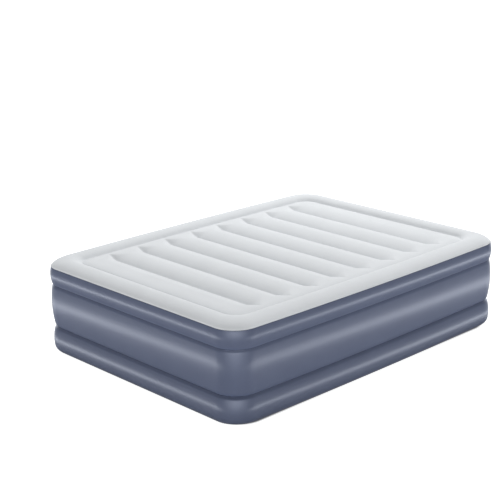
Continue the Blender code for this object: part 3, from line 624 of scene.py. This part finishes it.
# %% [markdown]
# ## Satin PVC film
# The walls are two PVC films with an open woven mesh between them, calendered smooth. The surface is
# satin: a narrow highlight with soft skirts. The mesh shows through as faint squares. Its threads are
# about 1.2 mm apart, and they are drawn at 2.5 mm, because finer ones would not show. The squares follow
# the wall's own UV map, which is in metres round and up the wall. The film is never quite flat, so slow
# waves as wide as a hand bend the highlight a little.

# %% Satin PVC film material
def satin_pvc_film():
    material, tree, shader = new_material("satin_pvc_film", Coat_Weight=0.6, Coat_Roughness=0.16, IOR=1.53)
    coords = add_node(tree, "ShaderNodeTexCoord")
    cloud = add_node(tree, "ShaderNodeTexNoise", {"Scale": per_metre(90), "Detail": 3.0},
                     {"Vector": coords.outputs["Object"]})
    tint = add_node(tree, "ShaderNodeMix", {"data_type": "RGBA", 6: linear("#505972"), 7: linear("#576079")},
                    {0: cloud.outputs["Fac"]})
    squares = {"Scale": per_metre(2.5), "Color1": (0.95, 0.95, 0.95, 1), "Color2": (1, 1, 1, 1)}
    threads = add_node(tree, "ShaderNodeTexChecker", squares, {"Vector": coords.outputs["UV"]})
    woven = add_node(tree, "ShaderNodeMix", {"data_type": "RGBA", "blend_type": "MULTIPLY", 0: 1.0},
                     {6: tint.outputs[2], 7: threads.outputs["Color"]})
    tree.links.new(woven.outputs[2], shader.inputs["Base Color"])
    haze = add_node(tree, "ShaderNodeMapRange", {"To Min": 0.33, "To Max": 0.39},
                    {"Value": cloud.outputs["Fac"]})
    tree.links.new(haze.outputs[0], shader.inputs["Roughness"])
    slack = add_node(tree, "ShaderNodeTexNoise", {"Scale": per_metre(120), "Detail": 0.0},
                     {"Vector": coords.outputs["Object"]})
    relief = add_node(tree, "ShaderNodeBump", {"Strength": 0.3, "Distance": 1.0 * MM},
                      {"Height": slack.outputs["Fac"]})
    tree.links.new(relief.outputs["Normal"], shader.inputs["Normal"])
    return material


satin_film = satin_pvc_film()
print("finish:", satin_film.name)

# %% [markdown]
# ## Pressed welds in painted shade
# A weld made between heated bars is duller than the film, and it keeps the bars' fine cross-hatch. A checked
# pattern of 1.5 mm stands for it. Its colours are the film's colour darkened as it looks in shade: painted
# shade for the dark lines at the seam and in the waist folds.

# %% Pressed weld material, painted shade
def shade_painted_weld():
    material, tree, shader = new_material("shade_painted_weld", Roughness=0.7, Specular_IOR_Level=0.2)
    place = add_node(tree, "ShaderNodeTexCoord").outputs["Object"]
    # Both checker colours are painted shade: darker than the film, as the welds look in the folds' shadow.
    hatch = add_node(tree, "ShaderNodeTexChecker", {"Scale": per_metre(1.5), "Color1": linear("#3c4255"),
                                                    "Color2": linear("#434a5e")}, {"Vector": place})
    tree.links.new(hatch.outputs["Color"], shader.inputs["Base Color"])
    bump = add_node(tree, "ShaderNodeBump", {"Strength": 0.2, "Distance": 0.1 * MM},
                    {"Height": hatch.outputs["Fac"]})
    tree.links.new(bump.outputs["Normal"], shader.inputs["Normal"])
    return material


weld_finish_painted_shade = shade_painted_weld()
print("finish:", weld_finish_painted_shade.name)

# %% [markdown]
# ## Moulded and plain finishes
# The other surfaces are one base colour with a fine grain: ABS from a spark-eroded tool, rubber from a
# blasted one, plain film with a slight haze and zinc-plated steel with its faint cloudy passivation.
# They differ in colour, grain size, gloss and metal, so one function makes them all.

# %% Grained finishes
def grained(name, dark, light, grain_mm, relief, roughness, **shader_values):
    """A finish with fine noise in its colour, its roughness and its relief."""
    material, tree, shader = new_material(name, **shader_values)
    place = add_node(tree, "ShaderNodeTexCoord").outputs["Object"]
    grain = add_node(tree, "ShaderNodeTexNoise", {"Scale": per_metre(grain_mm), "Detail": 4.0},
                     {"Vector": place})
    tone = add_node(tree, "ShaderNodeMix", {"data_type": "RGBA", 6: linear(dark), 7: linear(light)},
                    {0: grain.outputs["Fac"]})
    tree.links.new(tone.outputs[2], shader.inputs["Base Color"])
    gloss = add_node(tree, "ShaderNodeMapRange", {"To Min": roughness - 0.06, "To Max": roughness + 0.06},
                     {"Value": grain.outputs["Fac"]})
    tree.links.new(gloss.outputs[0], shader.inputs["Roughness"])
    bump = add_node(tree, "ShaderNodeBump", {"Strength": relief, "Distance": 0.1 * MM},
                    {"Height": grain.outputs["Fac"]})
    tree.links.new(bump.outputs["Normal"], shader.inputs["Normal"])
    return material


finishes = {
    "flocked_top": flock,
    "wall_pvc": satin_film,
    # The seam slot's finish carries painted shade: its weld colours are darkened as if in shadow.
    "seam": weld_finish_painted_shade,
    "inner_pvc": grained("plain_pvc_film", "#c2c6cb", "#cfd3d8", 40, 0.05, 0.45),
    "dark_abs": grained("spark_grained_abs_dark", "#363c4b", "#404757", 0.9, 0.35, 0.48),
    "grey_abs": grained("spark_grained_abs_grey", "#868e9f", "#949cad", 0.9, 0.3, 0.46),
    "pump_rubber": grained("moulded_rubber", "#202328", "#2a2d33", 0.7, 0.3, 0.75),
    "pump_steel": grained("zinc_plated_steel", "#a9adb1", "#c2c5c8", 3, 0.05, 0.3, Metallic=1.0),
}
print("finishes:", [finish.name for finish in finishes.values()])

# %% [markdown]
# ## Dress every part
# Each mechanical part takes the finish of its slot. The new pieces ride on the body of the part that
# they stand for, replace it in the picture, and take the same slot. The two waist welds, dark rolls of
# painted shade, stand for no part, so they only ride on the bed.

# %% Wear, ride and replace
slot_of = {part["node"]: part["material_slot"] for part in frame["record"]["subparts"]}
for node, slot in slot_of.items():
    wear(frame["nodes"][node], finishes[slot])

skins = {"top_sheet": flocked_top, **walls, "bottom_sheet": bottom_skin, "top_seam": seam_roll_painted_shade}
for node, piece in skins.items():
    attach(piece, "bed")
    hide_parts(node)
    wear(piece, finishes[slot_of[node]])
for piece in (upper_weld_painted_shade, lower_weld_painted_shade):
    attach(piece, "bed")
    wear(piece, finishes["seam"])
for node, piece in pump_pieces.items():
    wear(piece, finishes[slot_of[node]])
wear(valve_coil, finishes["pump_steel"])
print("dressed parts:", len(slot_of), "new pieces:", len(skins) + len(pump_pieces) + 3)

# %% [markdown]
# ## Camera
# A long lens from above one corner, so that the top, one side and the foot end all show.

# %% Camera
def make_camera():
    """A camera from its place, its heading, its tilt and a small roll."""
    data = bpy.data.cameras.new("camera")
    data.sensor_width = 36.0
    data.lens = 88.5
    camera = bpy.data.objects.new("camera", data)
    camera.location = (4.4711, -4.4815, 2.4434)
    heading, tilt, roll = math.radians(46.20), math.radians(17.15), math.radians(-0.73)
    aim = Euler((math.pi / 2 - tilt, 0, heading)).to_matrix() @ Matrix.Rotation(roll, 3, "Z")
    camera.rotation_euler = aim.to_euler()
    bpy.context.scene.collection.objects.link(camera)
    bpy.context.scene.camera = camera
    return camera


print("lens", make_camera().data.lens, "mm")

# %% [markdown]
# ## Floor
# The floor is a matt grey sheet that glows white, so that it throws light up at the walls, as a large
# white studio floor does. Close to the bed and under it the glow dies away, which keeps the line of
# contact darker.

# %% Floor
def make_floor(glow):
    """A large plane just under the bed, whose glow grows from nothing with the distance from the bed.

    The distance is measured from a rounded rectangle: the length of whatever part of |x| and |y| lies
    past the rectangle less its corner radius, minus that radius. To the eye the glow is at full strength
    20 mm out, and as a light on the bed 180 mm out.
    """
    bpy.ops.mesh.primitive_plane_add(size=60, location=(0, 0, -0.5 * MM))
    floor = bpy.context.object
    floor.name = "floor"
    paint, tree, shader = new_material("matt_floor_paint", Roughness=0.9, Specular_IOR_Level=0.0)
    shader.inputs["Base Color"].default_value = (0.5, 0.5, 0.5, 1)
    shader.inputs["Emission Color"].default_value = (1, 1, 1, 1)
    place = add_node(tree, "ShaderNodeTexCoord").outputs["Object"]
    core = (half_width - floor_inset - corner_radius, half_length - floor_inset - corner_radius, 0)
    far = add_node(tree, "ShaderNodeVectorMath", {"operation": "ABSOLUTE"}, {0: place})
    past = add_node(tree, "ShaderNodeVectorMath", {"operation": "SUBTRACT", 1: core}, {0: far.outputs[0]})
    beyond = add_node(tree, "ShaderNodeVectorMath", {"operation": "MAXIMUM", 1: (0, 0, 0)},
                      {0: past.outputs[0]})
    away = add_node(tree, "ShaderNodeVectorMath", {"operation": "LENGTH"}, {0: beyond.outputs[0]})
    eye = add_node(tree, "ShaderNodeLightPath").outputs["Is Camera Ray"]
    full_at = {"To Min": corner_radius + 180 * MM, "To Max": corner_radius + 20 * MM}
    run = add_node(tree, "ShaderNodeMapRange", full_at, {"Value": eye})
    rise = {"interpolation_type": "SMOOTHSTEP", "From Min": corner_radius, "To Max": glow}
    ramp = add_node(tree, "ShaderNodeMapRange", rise,
                    {"Value": away.outputs["Value"], "From Max": run.outputs[0]})
    tree.links.new(ramp.outputs[0], shader.inputs["Emission Strength"])
    wear(floor, paint)
    floor.visible_glossy = False


make_floor(glow=1.0)
print("floor laid under the bed, whose footprint is inset", floor_inset / MM, "mm")

# %% [markdown]
# ## Studio surround
# Matt surfaces get even white light from all round. Satin film needs something to mirror, or it looks
# like chalk. Two long soft strips, on either side along one diagonal, give each wall band one clear
# highlight. They lie below the horizon, because a wall that is seen from above mirrors what is low, and
# the floor is hidden from mirror rays so that it does not cover them. A broad glow just above the
# horizon, in front and behind, fills the round corner between them.

# %% Surround
def glow_band(tree, axes, place, height_of, spread, heading, power):
    """Light round a heading and its opposite.

    It is the power times a bell curve of the height times the heading's cosine to the fourth.
    """
    away = add_node(tree, "ShaderNodeMath", {"operation": "SUBTRACT", 1: height_of}, {0: axes.outputs["Z"]})
    share = add_node(tree, "ShaderNodeMath", {"operation": "DIVIDE", 1: spread}, {0: away.outputs[0]})
    square = add_node(tree, "ShaderNodeMath", {"operation": "POWER", 1: 2.0}, {0: share.outputs[0]})
    minus = add_node(tree, "ShaderNodeMath", {"operation": "MULTIPLY", 1: -1.0}, {0: square.outputs[0]})
    bell = add_node(tree, "ShaderNodeMath", {"operation": "EXPONENT"}, {0: minus.outputs[0]})
    side = add_node(tree, "ShaderNodeVectorMath", {"operation": "DOT_PRODUCT", 1: heading}, {0: place})
    lobe = add_node(tree, "ShaderNodeMath", {"operation": "POWER", 1: 4.0}, {0: side.outputs["Value"]})
    band = add_node(tree, "ShaderNodeMath", {"operation": "MULTIPLY"},
                    {0: bell.outputs[0], 1: lobe.outputs[0]})
    light = add_node(tree, "ShaderNodeMath", {"operation": "MULTIPLY", 1: power}, {0: band.outputs[0]})
    return light.outputs[0]


strip_height, strip_spread = -0.325, 0.035
front_height, front_spread = 0.1, 0.35


def make_surround(fill, mirror_base, strip_power, front_power):
    """World light: white for camera rays, even for diffuse rays, and soft bands for glossy rays."""
    world = bpy.data.worlds.new("studio")
    bpy.context.scene.world = world
    world.use_nodes = True
    world.cycles.sampling_method = "NONE"
    tree = world.node_tree
    place = add_node(tree, "ShaderNodeTexCoord").outputs["Generated"]
    axes = add_node(tree, "ShaderNodeSeparateXYZ", None, {0: place})
    strips = glow_band(tree, axes, place, strip_height, strip_spread, (0.7071, 0.7071, 0), strip_power)
    front = glow_band(tree, axes, place, front_height, front_spread, (0.7071, -0.7071, 0), front_power)
    both = add_node(tree, "ShaderNodeMath", {"operation": "ADD"}, {0: strips, 1: front})
    total = add_node(tree, "ShaderNodeMath", {"operation": "ADD", 1: mirror_base}, {0: both.outputs[0]})
    shiny = add_node(tree, "ShaderNodeBackground", {"Color": linear("#f0f5ff")},
                     {"Strength": total.outputs[0]})
    even = add_node(tree, "ShaderNodeBackground", {"Color": (1, 1, 1, 1), "Strength": fill})
    white = add_node(tree, "ShaderNodeBackground", {"Color": (1, 1, 1, 1), "Strength": 1.05})
    path = add_node(tree, "ShaderNodeLightPath")
    matt = add_node(tree, "ShaderNodeMixShader", None, {0: path.outputs["Is Glossy Ray"], 1: even.outputs[0],
                                                        2: shiny.outputs[0]})
    seen = add_node(tree, "ShaderNodeMixShader", None, {0: path.outputs["Is Camera Ray"], 1: matt.outputs[0],
                                                        2: white.outputs[0]})
    tree.links.new(seen.outputs[0], tree.nodes["World Output"].inputs["Surface"])


make_surround(fill=0.46, mirror_base=0.2, strip_power=6.8, front_power=3.0)
print("strips at height", strip_height, "front glow at", front_height)

# %% [markdown]
# ## Lamp
# One large soft box hangs high and well behind the head end. Each channel is bright on its far side and
# greyer on its near side, which is what makes the channels readable. The box is nearer to the head end,
# so it lights that end about half as much again as the foot end.

# %% Soft box
def soft_box(name, at, size, power):
    """A square light that faces the top of the bed."""
    data = bpy.data.lights.new(name, "AREA")
    data.size = size
    data.energy = power
    lamp = bpy.data.objects.new(name, data)
    lamp.location = at
    lamp.rotation_euler = (Vector((0, 0, height)) - Vector(at)).to_track_quat("-Z", "Y").to_euler()
    bpy.context.scene.collection.objects.link(lamp)
    return lamp


def light_at(lamp, point):
    """Light on a level surface, as if from a point: the cosine at it over the square of the distance."""
    way = lamp.location - Vector(point)
    return way.normalized().z / way.length_squared


overhead = soft_box("overhead", at=(-2.2, 4.2, 6.5), size=5.5, power=480)
head_end, foot_end = (0, half_length, height), (0, -half_length, height)
print("lamp:", overhead.name, "at", [round(v, 2) for v in overhead.location])
print("head end over foot end:", round(light_at(overhead, head_end) / light_at(overhead, foot_end), 2))

# %% [markdown]
# ## Finish
# The picture is shown without a film curve, so that white stays white.

# %% Finish
bpy.context.scene.view_settings.view_transform = "Standard"
